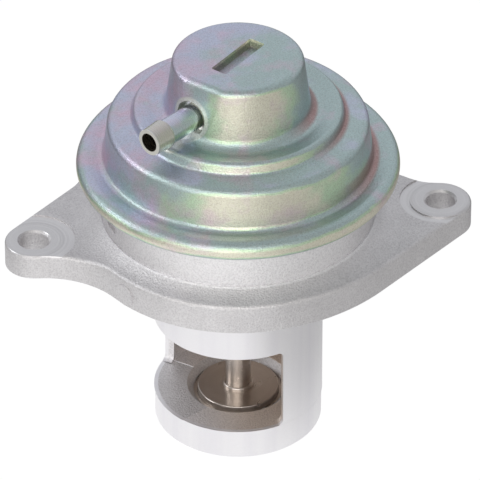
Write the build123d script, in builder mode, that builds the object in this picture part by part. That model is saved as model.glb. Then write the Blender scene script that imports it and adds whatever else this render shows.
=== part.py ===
from build123d import *
from math import acos, asin, atan2, cos, degrees, hypot, radians, sin, sqrt, tan
import os

os.makedirs("parts", exist_ok=True)

# Vacuum-operated EGR valve. Millimetres, +Z up along the stem.
# The origin is on the stem's axis in the flange's mounting face, and the bolt
# holes lie along X. The valve is at rest, with its disc on the seat.

# General clearances
press_gap = 0.02
seat_gap = 0.05
slide_gap = 0.04
soft_gap = 0.12
sheet = 1.0

# Flange
bolt_spacing = 92.0
bolt_hole_radius = 3.3
bolt_hole_chamfer = 0.5
flange_thickness = 6.2
flange_disc_radius = 34.9
left_ear_radius = 6.6
right_ear_radius = 7.0
left_front_hollow = 20.0
left_back_edge_angle = 131.8
lobe_offset = 7.0
lobe_angle = 140.0
lobe_inset = 2.7
lobe_corner_round = 12.0
front_blend_angle = -82.8
right_front_edge_angle = -50.0
right_back_edge_reach = 3.82
right_back_hollow = 12.0
flange_edge_round = 1.0
spot_face_radius = 9.2
left_spot_depth = 0.3
right_spot_depth = 0.35
right_pad_depth = 0.05
right_pad_radius = 6.9
pin_mark_radius = 2.6
pin_mark_height = 2.75
pin_mark_angle = -145.5
pin_mark_rise = 0.2

# Cast blend between the flange and the drum
blend_foot_reach = 3.6
blend_top_gap = 0.4
blend_rise = 3.4

# Drum and clamp rim
drum_radius = 30.5
drum_wall = 2.9
rim_radius = 34.6
rim_underside = 20.5
rim_thickness = 1.3
rim_corner_round = 1.2
bowl_floor = 4.0
bowl_corner_round = 2.0

# Guide boss and the cored ring round it
boss_radius = 8.5
boss_top = 8.4
core_outer_radius = 15.6
core_floor = -13.5
core_corner_round = 2.0

# Vent in the drum's wall, under the capsule's rolled edge
vent_angle = 193.0
vent_notch_foot = 11.8
vent_notch_width = 4.6
vent_notch_depth = 1.3
vent_hole_radius = 1.3

# Barrel
barrel_radius = 19.1
barrel_length = 46.6
barrel_edge = 0.5
window_top = -18.9
window_relief = 0.02
lower_ring_height = 7.5
window_start_angle = 141.0
window_end_angle = 292.4
window_corner_round = 1.4
chamber_radius = 16.8
lower_land_drop = 0.2
lower_land_gap = 0.6
milled_step = 0.15
milled_step_start = (-14.7, -12.2)
milled_step_end = (-8.2, -8.3)

# Valve seat
seat_entry_radius = 11.8
seat_bore_radius = 10.2
seat_ring_radius = 11.2
seat_ring_drop = 2.1
seat_ring_height = 4.0
seat_port_radius = 7.6
seat_cone_radius = 9.3

# Stem and poppet
stem_radius = 2.85
stem_neck_radius = 2.2
stem_head_radius = 3.6
stem_head_height = 1.2
poppet_radius = 9.2
poppet_drop = 0.4
poppet_edge_round = 0.25
poppet_thickness = 3.2
collar_radius = 3.5
collar_height = 0.9
collar_round = 0.4
valve_lift = 5.5

# Guide bush, scraper and packing
bush_radius = 5.0
bush_bottom = -15.5
bush_top = 4.4
scraper_radius = 6.2
scraper_drop = 2.2
scraper_lip_radius = 3.4
packing_radius = 5.6
packing_height = 2.0
backing_height = 0.6
disc_spring_sheet = 0.5
retainer_sheet = 0.8
retainer_skirt = 3.0

# Diaphragm and its plates
shoulder_height = 14.0
lower_plate_radius = 19.5
lower_plate_sheet = 1.2
lower_plate_lip = 2.2
rubber = 0.9
cup_sheet = 0.9
cup_radius = 21.5
cup_corner_round = 2.0
stop_gap = 0.4
clamp_washer_radius = 7.0
clamp_washer_height = 1.5
bead_inset = 0.6
bead_width = 1.8
bead_height = 1.1
bowl_wall_gap = 0.2

# Capsule cap: outer face of the pressed sheet
cup_height = 14.1
cup_top_inset = 1.95
cup_top_round = 1.7
cup_foot_radius = 16.4
cup_foot_round = 2.5
step_rise = 1.35
step_round = 1.1
riser_height = 2.7
riser_lean = 0.8
shelf_rise = 0.95
shelf_width = 5.2
shelf_foot_round = 0.9
shoulder_inset = 1.15
shoulder_height_above_gutter = 9.75
shoulder_round = 2.0
gutter_inset = 2.1
gutter_round = 1.3
roll_side_gap = 0.4
roll_lip_gap = 1.9

# Stamped slot in the cap's top
slot_length = 14.7
slot_width = 4.0
slot_depth = 1.9
slot_angle = 44.5
slot_taper = 14.0

# Hose nipple and the facet that it stands on
nipple_angle = -143.0
nipple_rise = 5.2
nipple_tip = 28.2
nipple_radius = 2.9
nipple_bore_radius = 2.15
barb_radius = 3.35
barb_tip_radius = 3.05
barb_length = 5.0
barb_back = 0.5
collar_ring_radius = 3.4
collar_ring_height = 0.8
facet_angle = -135.0
facet_distance = 15.3
facet_rise = 5.7
facet_lean = 11.5
facet_edge_round = 4.0
facet_foot_rise = 2.7
dimple_radius = 4.0
dimple_floor = 12.8

# Return spring
spring_radius = 10.5
spring_wire = 2.0
spring_turns = 5.5
spring_seat_margin = 0.2
spring_seat_sheet = 0.7
spring_seat_clearance = 0.1
spring_seat_drop = 3.0


def polar(radius, angle, centre=(0.0, 0.0)):
    """Point at a radius and an angle in degrees from a centre."""
    return (centre[0] + radius * cos(radians(angle)), centre[1] + radius * sin(radians(angle)))


def bearing(start, end):
    """Angle in degrees of the direction from one point to another."""
    return degrees(atan2(end[1] - start[1], end[0] - start[0]))


def turned_ring(inner, outer, low, high):
    """Plain ring between two radii and two heights."""
    with BuildPart() as ring:
        with BuildSketch(Plane.XY.offset(low)):
            Circle(outer)
            Circle(inner, mode=Mode.SUBTRACT)
        extrude(amount=high - low)
    return ring


# Radii that follow from the values above
spring_seat_collar = spring_radius - spring_wire / 2 - spring_seat_clearance
lobe_radius = flange_disc_radius - lobe_inset
blend_foot_radius = flange_disc_radius + blend_foot_reach
blend_top_radius = drum_radius + blend_top_gap
bead_radius = rim_radius - bead_inset
bead_inner_radius = bead_radius - bead_width
gutter_radius = bead_inner_radius - gutter_inset
shoulder_radius = gutter_radius - shoulder_inset
shelf_radius = shoulder_radius - shelf_width
step_radius = shelf_radius - riser_lean
cup_top_radius = cup_foot_radius - cup_top_inset
roll_radius = rim_radius + roll_side_gap + sheet
roll_lip_radius = drum_radius + roll_lip_gap

# Points of the flange's outline
left_ear = (-bolt_spacing / 2, 0.0)
right_ear = (bolt_spacing / 2, 0.0)

# Left front hollow: touches the disc and the left ear from outside
hollow_reach = flange_disc_radius + left_front_hollow
hollow_ear_reach = left_ear_radius + left_front_hollow
hollow_x = (hollow_reach**2 - hollow_ear_reach**2 + left_ear[0] ** 2) / (2 * left_ear[0])
hollow_centre = (hollow_x, -sqrt(hollow_reach**2 - hollow_x**2))

# Right front blend: touches the disc from outside and the ear's straight edge
front_edge_reach = polar(1, right_front_edge_angle)[0] * right_ear[0] + right_ear_radius
blend_turn = cos(radians(right_front_edge_angle - front_blend_angle))
front_blend_size = (front_edge_reach - flange_disc_radius * blend_turn) / (1 - blend_turn)
front_blend_centre = polar(flange_disc_radius - front_blend_size, front_blend_angle)

# Right back hollow: touches the disc's tangent and the right ear
right_back_edge_angle = degrees(acos((flange_disc_radius - right_back_edge_reach) / right_ear[0]))
back_normal = polar(1, right_back_edge_angle)
back_along = polar(1, right_back_edge_angle - 90)
back_reach = flange_disc_radius + right_back_hollow
ear_along = right_ear[0] * back_along[0]
ear_across = right_ear[0] * back_normal[0]
ear_reach = right_ear_radius + right_back_hollow
back_slide = ear_along - sqrt(ear_reach**2 - (back_reach - ear_across) ** 2)
back_hollow_centre = (
    back_reach * back_normal[0] + back_slide * back_along[0],
    back_reach * back_normal[1] + back_slide * back_along[1],
)

# Left back edge and the lobe behind it
lobe_centre = polar(lobe_offset, lobe_angle)
left_edge_normal = polar(1, left_back_edge_angle)
left_edge_along = polar(1, left_back_edge_angle - 90)
left_edge_reach = left_edge_normal[0] * left_ear[0] + left_ear_radius
lobe_across = lobe_centre[0] * left_edge_normal[0] + lobe_centre[1] * left_edge_normal[1]
lobe_along = lobe_centre[0] * left_edge_along[0] + lobe_centre[1] * left_edge_along[1]
lobe_chord = sqrt(lobe_radius**2 - (left_edge_reach - lobe_across) ** 2)
lobe_start = (
    left_edge_reach * left_edge_normal[0] + (lobe_along - lobe_chord) * left_edge_along[0],
    left_edge_reach * left_edge_normal[1] + (lobe_along - lobe_chord) * left_edge_along[1],
)
lobe_cross = (lobe_offset**2 + flange_disc_radius**2 - lobe_radius**2) / (2 * lobe_offset)
lobe_end_angle = lobe_angle - degrees(acos(lobe_cross / flange_disc_radius))
lobe_end = polar(flange_disc_radius, lobe_end_angle)

# Heights that follow from the values above
crease_height = flange_thickness + blend_rise
rim_top = rim_underside + rim_thickness
window_floor = lower_ring_height - barrel_length
seat_ring_top = window_floor - seat_ring_drop
seat_ring_bottom = seat_ring_top - seat_ring_height
poppet_top = window_floor - poppet_drop
gutter_height = rim_top + rubber + seat_gap + sheet
shoulder_top = gutter_height + shoulder_height_above_gutter
shelf_height = shoulder_top + shelf_rise
step_height = shelf_height + riser_height
cup_foot_height = step_height - step_rise
cap_top = cup_foot_height + cup_height
roll_top = rim_top + bead_height + 2 * soft_gap + sheet
roll_bottom = rim_underside - sheet
nipple_height = cup_foot_height + nipple_rise
nipple_inner_end = dimple_floor - sheet
facet_height = cup_foot_height + facet_rise
facet_foot = cup_foot_height + facet_foot_rise
bowl_radius = drum_radius - drum_wall
lower_plate_top = shoulder_height + lower_plate_sheet
rubber_top = lower_plate_top + rubber
cup_floor_top = rubber_top + cup_sheet
washer_top = cup_floor_top + clamp_washer_height
spring_bottom = cup_floor_top
spring_top = cap_top - sheet - spring_seat_sheet

window_height = window_top - window_floor
window_middle = (window_start_angle + window_end_angle) / 2
window_reach = 2 * barrel_radius

# Cutter of the gas window: milled from the front, with rounded corners at both ends
jamb_x = polar(barrel_radius, window_end_angle)[0]
with BuildPart() as window_cutter:
    with BuildSketch(Plane.XY.offset(window_floor)):
        with BuildLine():
            Polyline(
                (0, 0),
                polar(window_reach, window_start_angle),
                polar(window_reach, window_middle - 30),
                polar(window_reach, window_middle + 30),
                (jamb_x, -window_reach),
                (jamb_x, 0),
                close=True,
            )
        make_face()
    extrude(amount=window_height)
    level_edges = window_cutter.edges().filter_by(
        lambda e: abs(e.center().Z - (window_top + window_floor) / 2) > window_height / 2 - 0.01
    )
    start_edges = level_edges.filter_by(
        lambda e: abs(Vector(*polar(window_reach / 2, window_start_angle), e.center().Z) - e.center()) < 0.01
    )
    end_edges = level_edges.filter_by(
        lambda e: abs(e.center().X - jamb_x) < 0.01 and abs(e.center().Y + window_reach / 2) < 0.01
    )
    fillet(start_edges + end_edges, window_corner_round)

# Body casting
with BuildPart() as valve_body:
    with BuildSketch() as flange_plan:
        with BuildLine():
            front_start = bearing((0, 0), hollow_centre)
            CenterArc((0, 0), flange_disc_radius, front_start, front_blend_angle - front_start)
            CenterArc(
                front_blend_centre,
                front_blend_size,
                front_blend_angle,
                right_front_edge_angle - front_blend_angle,
            )
            Line(
                polar(front_blend_size, right_front_edge_angle, front_blend_centre),
                polar(right_ear_radius, right_front_edge_angle, right_ear),
            )
            ear_end = bearing(right_ear, back_hollow_centre)
            CenterArc(
                right_ear, right_ear_radius, right_front_edge_angle, ear_end - right_front_edge_angle
            )
            CenterArc(
                back_hollow_centre,
                right_back_hollow,
                ear_end + 180,
                right_back_edge_angle - ear_end,
            )
            Line(
                polar(right_back_hollow, right_back_edge_angle + 180, back_hollow_centre),
                polar(flange_disc_radius, right_back_edge_angle),
            )
            CenterArc(
                (0, 0),
                flange_disc_radius,
                right_back_edge_angle,
                lobe_end_angle - right_back_edge_angle,
            )
            lobe_from = bearing(lobe_centre, lobe_end)
            lobe_to = bearing(lobe_centre, lobe_start)
            CenterArc(lobe_centre, lobe_radius, lobe_from, lobe_to - lobe_from)
            Line(lobe_start, polar(left_ear_radius, left_back_edge_angle, left_ear))
            left_ear_end = bearing(left_ear, hollow_centre) + 360
            CenterArc(
                left_ear, left_ear_radius, left_back_edge_angle, left_ear_end - left_back_edge_angle
            )
            CenterArc(
                hollow_centre,
                left_front_hollow,
                left_ear_end - 180,
                front_start + 360 - left_ear_end,
            )
        make_face()
        corners = flange_plan.vertices().filter_by(
            lambda v: min(abs(Vector(v) - Vector(*p)) for p in (lobe_start, lobe_end)) < 0.01
        )
        fillet(corners, lobe_corner_round)
    extrude(amount=crease_height)
    with BuildSketch(Plane.XZ):
        with BuildLine():
            blend_span = blend_foot_radius - blend_top_radius
            blend_radius = (blend_span**2 + blend_rise**2) / (2 * blend_rise)
            blend_mid = radians(degrees(atan2(blend_span, blend_radius - blend_rise)) / 2)
            Polyline(
                (blend_foot_radius, flange_thickness),
                (bolt_spacing, flange_thickness),
                (bolt_spacing, 0),
                (0, 0),
                (0, crease_height),
                (blend_top_radius, crease_height),
            )
            ThreePointArc(
                (blend_top_radius, crease_height),
                (
                    blend_foot_radius - blend_radius * sin(blend_mid),
                    flange_thickness + blend_radius * (1 - cos(blend_mid)),
                ),
                (blend_foot_radius, flange_thickness),
            )
        make_face()
    revolve(axis=Axis.Z, mode=Mode.INTERSECT)
    outline_top = valve_body.edges().filter_by(
        lambda e: e.center().Z > flange_thickness - 0.01
        and hypot(e.center().X, e.center().Y) > blend_top_radius + 0.5
        and not (e.geom_type == GeomType.CIRCLE and abs(e.radius - blend_foot_radius) < 0.01)
    )
    fillet(outline_top, flange_edge_round)

    # Drum and clamp rim
    with BuildSketch(Plane.XZ):
        with BuildLine():
            Polyline(
                (0, 1),
                (drum_radius, 1),
                (drum_radius, rim_underside),
                (rim_radius, rim_underside),
                (rim_radius, rim_top),
                (0, rim_top),
                close=True,
            )
        drum_section = make_face()
        fillet(
            drum_section.vertices().filter_by(
                lambda v: hypot(v.X - rim_radius, v.Y - rim_underside) < 0.01
            ),
            rim_corner_round,
        )
    revolve(axis=Axis.Z)

    # Barrel with its lower land
    with BuildSketch(Plane.XZ):
        with BuildLine():
            Polyline(
                (0, 1),
                (barrel_radius, 1),
                (barrel_radius, window_top),
                (barrel_radius - window_relief, window_top),
                (barrel_radius - window_relief, window_floor),
                (barrel_radius, window_floor),
                (barrel_radius, window_floor - lower_land_gap),
                (barrel_radius - lower_land_drop, window_floor - lower_land_gap),
                (barrel_radius - lower_land_drop, -barrel_length + barrel_edge),
                (barrel_radius - lower_land_drop - barrel_edge, -barrel_length),
                (0, -barrel_length),
                close=True,
            )
        make_face()
    revolve(axis=Axis.Z)

    # Bowl under the diaphragm, with the guide boss left standing and a cored ring round it
    with BuildSketch(Plane.XZ):
        with BuildLine():
            FilletPolyline(
                (boss_radius, rim_top + 1),
                (boss_radius, core_floor),
                (core_outer_radius, core_floor),
                (core_outer_radius, bowl_floor),
                (bowl_radius, bowl_floor),
                (bowl_radius, rim_top + 1),
                radius=[core_corner_round, core_corner_round, core_corner_round / 2, bowl_corner_round],
            )
            Line((bowl_radius, rim_top + 1), (boss_radius, rim_top + 1))
        make_face()
        with Locations((boss_radius / 2, (boss_top + rim_top + 1) / 2)):
            Rectangle(boss_radius, rim_top + 1 - boss_top)
    revolve(axis=Axis.Z, mode=Mode.SUBTRACT)

    # Stem bore, bush bore, scraper seat, packing seat, seat ring bore and chamfer
    with BuildSketch(Plane.XZ):
        with BuildLine():
            Polyline(
                (0, boss_top + 1),
                (packing_radius, boss_top + 1),
                (packing_radius, bush_top),
                (bush_radius + press_gap, bush_top),
                (bush_radius + press_gap, bush_bottom),
                (scraper_radius + press_gap, bush_bottom),
                (scraper_radius + press_gap, window_top - 1),
                (0, window_top - 1),
                close=True,
            )
        make_face()
        with BuildLine():
            entry = seat_entry_radius - seat_bore_radius
            Polyline(
                (0, window_floor + 1),
                (seat_entry_radius, window_floor + 1),
                (seat_entry_radius, window_floor),
                (seat_bore_radius, window_floor - entry),
                (seat_bore_radius, seat_ring_top),
                (seat_ring_radius + press_gap, seat_ring_top),
                (seat_ring_radius + press_gap, -barrel_length - 1),
                (0, -barrel_length - 1),
                close=True,
            )
        make_face()
    revolve(axis=Axis.Z, mode=Mode.SUBTRACT)

    # Gas chamber and the window in its wall
    with BuildSketch(Plane.XY.offset(window_floor)):
        Circle(chamber_radius)
    extrude(amount=window_height, mode=Mode.SUBTRACT)
    add(window_cutter.part, mode=Mode.SUBTRACT)

    # Step that the cutter left on the window's floor, lower on the left
    with BuildSketch(Plane.XY.offset(window_floor)):
        step_heading = bearing(milled_step_end, milled_step_start)
        with BuildLine():
            Polyline(
                milled_step_end,
                polar(window_reach, step_heading, milled_step_end),
                polar(window_reach, window_start_angle),
                (0, 0),
                close=True,
            )
        make_face()
    extrude(amount=-milled_step, mode=Mode.SUBTRACT)

    # Bolt holes, spot faces and the pad on the right ear
    with BuildSketch(Plane.XY.offset(flange_thickness - left_spot_depth)):
        with Locations(left_ear):
            Circle(spot_face_radius)
    extrude(amount=blend_rise, mode=Mode.SUBTRACT)
    with BuildSketch(Plane.XY.offset(flange_thickness - right_spot_depth)):
        with Locations(right_ear):
            Circle(spot_face_radius)
            Circle(right_pad_radius, mode=Mode.SUBTRACT)
    extrude(amount=blend_rise, mode=Mode.SUBTRACT)
    with BuildSketch(Plane.XY.offset(flange_thickness - right_pad_depth)):
        with Locations(right_ear):
            Circle(right_pad_radius)
    extrude(amount=blend_rise, mode=Mode.SUBTRACT)
    with Locations((*left_ear, 0), (*right_ear, 0)):
        Hole(bolt_hole_radius)
    mouths = valve_body.edges().filter_by(
        lambda e: e.geom_type == GeomType.CIRCLE and abs(e.radius - bolt_hole_radius) < 0.01
    )
    chamfer(mouths, bolt_hole_chamfer)

    # Vent notch under the rim and its hole into the bowl
    vent_notch_height = rim_underside - vent_notch_foot
    vent_plane = Plane(
        origin=(*polar(drum_radius - vent_notch_depth, vent_angle), rim_underside - vent_notch_height / 2),
        x_dir=(*polar(1, vent_angle + 90), 0),
        z_dir=(*polar(1, vent_angle), 0),
    )
    with BuildSketch(vent_plane):
        Rectangle(vent_notch_width, vent_notch_height)
    extrude(amount=2 * vent_notch_depth, mode=Mode.SUBTRACT)
    with BuildSketch(vent_plane):
        Circle(vent_hole_radius)
    extrude(amount=-2 * drum_wall, mode=Mode.SUBTRACT)

    # Ejector pin mark on the flange's side
    with BuildSketch(
        Plane(
            origin=(*polar(flange_disc_radius + pin_mark_rise, pin_mark_angle), pin_mark_height),
            x_dir=(*polar(1, pin_mark_angle + 90), 0),
            z_dir=(*polar(1, pin_mark_angle), 0),
        )
    ):
        Circle(pin_mark_radius)
    extrude(amount=-2 * pin_mark_rise)
valve_body.part.label = "valve_body"
export_step(valve_body.part, "parts/valve_body.step")

# Valve seat ring, pressed in from below
with BuildPart() as valve_seat_ring:
    with BuildSketch(Plane.XZ):
        with BuildLine():
            Polyline(
                (seat_port_radius, seat_ring_bottom),
                (seat_ring_radius, seat_ring_bottom),
                (seat_ring_radius, seat_ring_top),
                (seat_cone_radius, seat_ring_top),
                (seat_port_radius, seat_ring_top - (seat_cone_radius - seat_port_radius)),
                close=True,
            )
        make_face()
    revolve(axis=Axis.Z)
valve_seat_ring.part.label = "valve_seat_ring"
export_step(valve_seat_ring.part, "parts/valve_seat_ring.step")

# Guide bush
stem_guide_bush = turned_ring(stem_radius + slide_gap, bush_radius, bush_bottom, bush_top)
stem_guide_bush.part.label = "stem_guide_bush"
export_step(stem_guide_bush.part, "parts/stem_guide_bush.step")

# Deposit scraper, a lipped ring below the bush
with BuildPart() as deposit_scraper:
    scraper_bottom = window_top - scraper_drop
    scraper_bore = stem_radius + slide_gap
    with BuildSketch(Plane.XZ):
        with BuildLine():
            Polyline(
                (scraper_bore, scraper_bottom),
                (scraper_lip_radius, scraper_bottom),
                (scraper_radius, window_top),
                (scraper_radius, bush_bottom),
                (scraper_bore, bush_bottom),
                close=True,
            )
        make_face()
    revolve(axis=Axis.Z)
deposit_scraper.part.label = "deposit_scraper"
export_step(deposit_scraper.part, "parts/deposit_scraper.step")

# Packing ring and its backing washer
packing_top = bush_top + packing_height
stem_seal_ring = turned_ring(stem_radius + slide_gap, packing_radius - press_gap, bush_top, packing_top)
stem_seal_ring.part.label = "stem_seal_ring"
export_step(stem_seal_ring.part, "parts/stem_seal_ring.step")

backing_top = packing_top + backing_height
seal_backing_washer = turned_ring(
    stem_radius + 2 * slide_gap, packing_radius - press_gap, packing_top, backing_top
)
seal_backing_washer.part.label = "seal_backing_washer"
export_step(seal_backing_washer.part, "parts/seal_backing_washer.step")

# Disc spring: a cone of sheet between the backing washer and the retainer
with BuildPart() as packing_disc_spring:
    cone_inner = stem_radius + 6 * slide_gap
    cone_outer = packing_radius - 4 * press_gap
    cone_low = backing_top + press_gap
    cone_high = boss_top - press_gap
    with BuildSketch(Plane.XZ):
        with BuildLine():
            Polyline(
                (cone_outer, cone_low),
                (cone_outer, cone_low + disc_spring_sheet),
                (cone_inner, cone_high),
                (cone_inner, cone_high - disc_spring_sheet),
                close=True,
            )
        make_face()
    revolve(axis=Axis.Z)
packing_disc_spring.part.label = "packing_disc_spring"
export_step(packing_disc_spring.part, "parts/packing_disc_spring.step")

# Retainer, a sheet cap pressed over the boss
with BuildPart() as seal_retainer:
    with BuildSketch(Plane.XZ):
        with BuildLine():
            skirt_inner = boss_radius + press_gap
            skirt_outer = skirt_inner + retainer_sheet
            retainer_bore = stem_radius + 6 * slide_gap
            Polyline(
                (retainer_bore, boss_top),
                (skirt_inner, boss_top),
                (skirt_inner, boss_top - retainer_skirt),
                (skirt_outer, boss_top - retainer_skirt),
                (skirt_outer, boss_top + retainer_sheet),
                (retainer_bore, boss_top + retainer_sheet),
                close=True,
            )
        make_face()
    revolve(axis=Axis.Z)
    fillet(seal_retainer.edges().group_by(Axis.Z)[-1].sort_by(SortBy.LENGTH)[-1], retainer_sheet / 2)
seal_retainer.part.label = "seal_retainer"
export_step(seal_retainer.part, "parts/seal_retainer.step")

# Stem: shank, necks at both ends, riveted foot and head
poppet_bottom = poppet_top - poppet_thickness
poppet_edge_foot = seat_ring_top - (seat_cone_radius - poppet_radius) + seat_gap * sqrt(2)
poppet_foot_radius = poppet_radius - (poppet_edge_foot - poppet_bottom)
with BuildPart() as valve_stem:
    with BuildSketch(Plane.XZ):
        with BuildLine():
            foot = poppet_bottom - stem_head_height
            head = washer_top + stem_head_height
            Polyline(
                (0, foot),
                (stem_head_radius - stem_head_height / 2, foot),
                (stem_head_radius, poppet_bottom),
                (stem_neck_radius, poppet_bottom),
                (stem_neck_radius, poppet_top),
                (stem_radius, poppet_top),
                (stem_radius, shoulder_height),
                (stem_neck_radius, shoulder_height),
                (stem_neck_radius, washer_top),
                (stem_head_radius, washer_top),
                (stem_head_radius - stem_head_height / 2, head),
                (0, head),
                close=True,
            )
        make_face()
    revolve(axis=Axis.Z)
valve_stem.part.label = "valve_stem"
export_step(valve_stem.part, "parts/valve_stem.step")

# Poppet disc: flat top, straight edge, cone that meets the seat
with BuildPart() as poppet_disc:
    with BuildSketch(Plane.XZ):
        with BuildLine():
            neck_bore = stem_neck_radius + press_gap
            Polyline(
                (neck_bore, poppet_bottom),
                (poppet_foot_radius, poppet_bottom),
                (poppet_radius, poppet_edge_foot),
                (poppet_radius, poppet_top),
                (neck_bore, poppet_top),
                close=True,
            )
        make_face()
    revolve(axis=Axis.Z)
    fillet(poppet_disc.edges().group_by(Axis.Z)[-1].sort_by(SortBy.LENGTH)[-1], poppet_edge_round)
poppet_disc.part.label = "poppet_disc"
export_step(poppet_disc.part, "parts/poppet_disc.step")

# Collar at the foot of the stem
poppet_collar = turned_ring(
    stem_radius + press_gap, collar_radius, poppet_top, poppet_top + collar_height
)
with poppet_collar:
    fillet(poppet_collar.edges().group_by(Axis.Z)[-1].sort_by(SortBy.LENGTH)[-1], collar_round)
poppet_collar.part.label = "poppet_collar"
export_step(poppet_collar.part, "parts/poppet_collar.step")

# Lower diaphragm plate, a disc with its edge turned down
with BuildPart() as lower_plate:
    with BuildSketch(Plane.XZ):
        with BuildLine():
            lip_inner = lower_plate_radius - lower_plate_sheet
            plate_bore = stem_neck_radius + press_gap
            Polyline(
                (plate_bore, shoulder_height),
                (lip_inner, shoulder_height),
                (lip_inner, lower_plate_top - lower_plate_lip),
                (lower_plate_radius, lower_plate_top - lower_plate_lip),
                (lower_plate_radius, lower_plate_top),
                (plate_bore, lower_plate_top),
                close=True,
            )
        make_face()
    revolve(axis=Axis.Z)
    fillet(lower_plate.edges().group_by(Axis.Z)[-1].sort_by(SortBy.LENGTH)[-1], lower_plate_sheet / 2)
lower_plate.part.label = "lower_plate"
export_step(lower_plate.part, "parts/lower_plate.step")

# Spring cup: its rim stops against the cap at full lift
step_slope = (step_height - cup_foot_height) / (step_radius - cup_foot_radius)
stop_height = cup_foot_height + step_slope * (cup_radius - cup_sheet - cup_foot_radius) - sheet
cup_rim = stop_height - stop_gap - valve_lift
with BuildPart() as spring_cup:
    with BuildSketch(Plane.XZ):
        with BuildLine():
            Polyline(
                (plate_bore, rubber_top),
                (cup_radius, rubber_top),
                (cup_radius, cup_rim),
                (cup_radius - cup_sheet, cup_rim),
                (cup_radius - cup_sheet, cup_floor_top),
                (plate_bore, cup_floor_top),
                close=True,
            )
        make_face()
    revolve(axis=Axis.Z)
    outer_corner = spring_cup.edges().group_by(Axis.Z)[0].sort_by(SortBy.LENGTH)[-1]
    fillet(outer_corner, cup_corner_round)
    inner_corner = spring_cup.edges().filter_by(
        lambda e: abs(e.center().Z - cup_floor_top) < 0.01
        and e.geom_type == GeomType.CIRCLE
        and e.radius > clamp_washer_radius
    )
    fillet(inner_corner, cup_corner_round - cup_sheet)
spring_cup.part.label = "spring_cup"
export_step(spring_cup.part, "parts/spring_cup.step")

# Clamp washer under the stem's head
clamp_washer = turned_ring(plate_bore, clamp_washer_radius, cup_floor_top, washer_top)
clamp_washer.part.label = "clamp_washer"
export_step(clamp_washer.part, "parts/clamp_washer.step")

# Diaphragm: flat centre, wall up the cup's side, roll, and a bead on the rim
with BuildPart() as diaphragm:
    wall_inner = cup_radius + soft_gap + rubber
    wall_outer = bowl_radius - bowl_wall_gap - rubber
    arch_inside = (wall_outer - wall_inner) / 2
    arch_top = rim_top + rubber + 2 * arch_inside
    bead_top = rim_top + bead_height
    with BuildSketch(Plane.XZ):
        with BuildLine():
            FilletPolyline(
                (plate_bore + rubber / 2, lower_plate_top),
                (wall_inner, lower_plate_top),
                (wall_inner, arch_top),
                (wall_outer, arch_top),
                (wall_outer, rim_top),
                (bead_inner_radius, rim_top),
                radius=[cup_corner_round + rubber, arch_inside - 0.01, arch_inside - 0.01, rubber / 2],
            )
            offset(amount=rubber, side=Side.LEFT, kind=Kind.INTERSECTION)
        make_face()
        with BuildLine():
            Polyline(
                (bead_inner_radius - rubber, rim_top),
                (bead_radius, rim_top),
                (bead_radius, bead_top),
                (bead_inner_radius, bead_top),
                (bead_inner_radius - rubber, rim_top + rubber),
                close=True,
            )
        make_face()
    revolve(axis=Axis.Z)
diaphragm.part.label = "diaphragm"
export_step(diaphragm.part, "parts/diaphragm.step")

# Nipple: tube, barb and inner end, turned about its own axis
nipple_plane = Plane(
    origin=(0, 0, nipple_height), x_dir=(*polar(1, nipple_angle), 0), z_dir=(*polar(1, nipple_angle + 90), 0)
)
nipple_axis = Axis((0, 0, nipple_height), (*polar(1, nipple_angle), 0))
with BuildPart() as vacuum_nipple:
    with BuildSketch(nipple_plane):
        with BuildLine():
            barb_start = nipple_tip - barb_length
            Polyline(
                (nipple_inner_end, nipple_bore_radius),
                (nipple_inner_end, nipple_radius),
                (barb_start, nipple_radius),
                (barb_start + barb_back, barb_radius),
                (nipple_tip, barb_tip_radius),
                (nipple_tip, nipple_bore_radius),
                close=True,
            )
        make_face()
    revolve(axis=nipple_axis)
vacuum_nipple.part.label = "vacuum_nipple"
export_step(vacuum_nipple.part, "parts/vacuum_nipple.step")

# Collar that seals the nipple in the dimple
with BuildPart() as nipple_collar:
    with BuildSketch(nipple_plane):
        with Locations((dimple_floor, nipple_radius + press_gap)):
            Rectangle(
                collar_ring_height,
                collar_ring_radius - nipple_radius - press_gap,
                align=(Align.MIN, Align.MIN),
            )
    revolve(axis=nipple_axis)
nipple_collar.part.label = "nipple_collar"
export_step(nipple_collar.part, "parts/nipple_collar.step")

# Facet on the cap's cup: a plane that leans outwards towards its foot
facet_plane = Plane(
    origin=(*polar(facet_distance, facet_angle), facet_height),
    x_dir=(*polar(1, facet_angle + 90), 0),
    z_dir=(*polar(cos(radians(facet_lean)), facet_angle), sin(radians(facet_lean))),
)


def filled_cup():
    """Solid under the outer face of the cap's cup, down to its foot."""
    with BuildPart() as cup:
        with BuildSketch(Plane.XZ):
            with BuildLine():
                foot_reach = cup_foot_radius + 2 * cup_foot_round
                foot_rise = 2 * cup_foot_round * step_slope
                FilletPolyline(
                    (0, cap_top),
                    (cup_top_radius, cap_top),
                    (cup_foot_radius, cup_foot_height),
                    (foot_reach, cup_foot_height + foot_rise),
                    (foot_reach, cup_foot_height - sheet),
                    (0, cup_foot_height - sheet),
                    radius=[cup_top_round, cup_foot_round, 0, 0],
                )
                Line((0, cup_foot_height - sheet), (0, cap_top))
            make_face()
        revolve(axis=Axis.Z)
    return cup


# The cup's cone flattened by the facet, with soft edges
with BuildPart() as flat_cup:
    with BuildSketch(Plane.XZ):
        Polygon(
            (0, cap_top),
            (cup_top_radius, cap_top),
            (cup_foot_radius, cup_foot_height),
            (0, cup_foot_height),
            align=None,
        )
    revolve(axis=Axis.Z)
    split(bisect_by=facet_plane, keep=Keep.BOTTOM)
    facet_face = flat_cup.faces().filter_by(
        lambda f: f.geom_type == GeomType.PLANE and 0 < f.normal_at().Z < 1 - slide_gap
    )[0]
    fillet(facet_face.edges().sort_by(Axis.Z)[0], facet_edge_round)
    fillet(flat_cup.edges().group_by(Axis.Z)[-1], cup_top_round)

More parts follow.
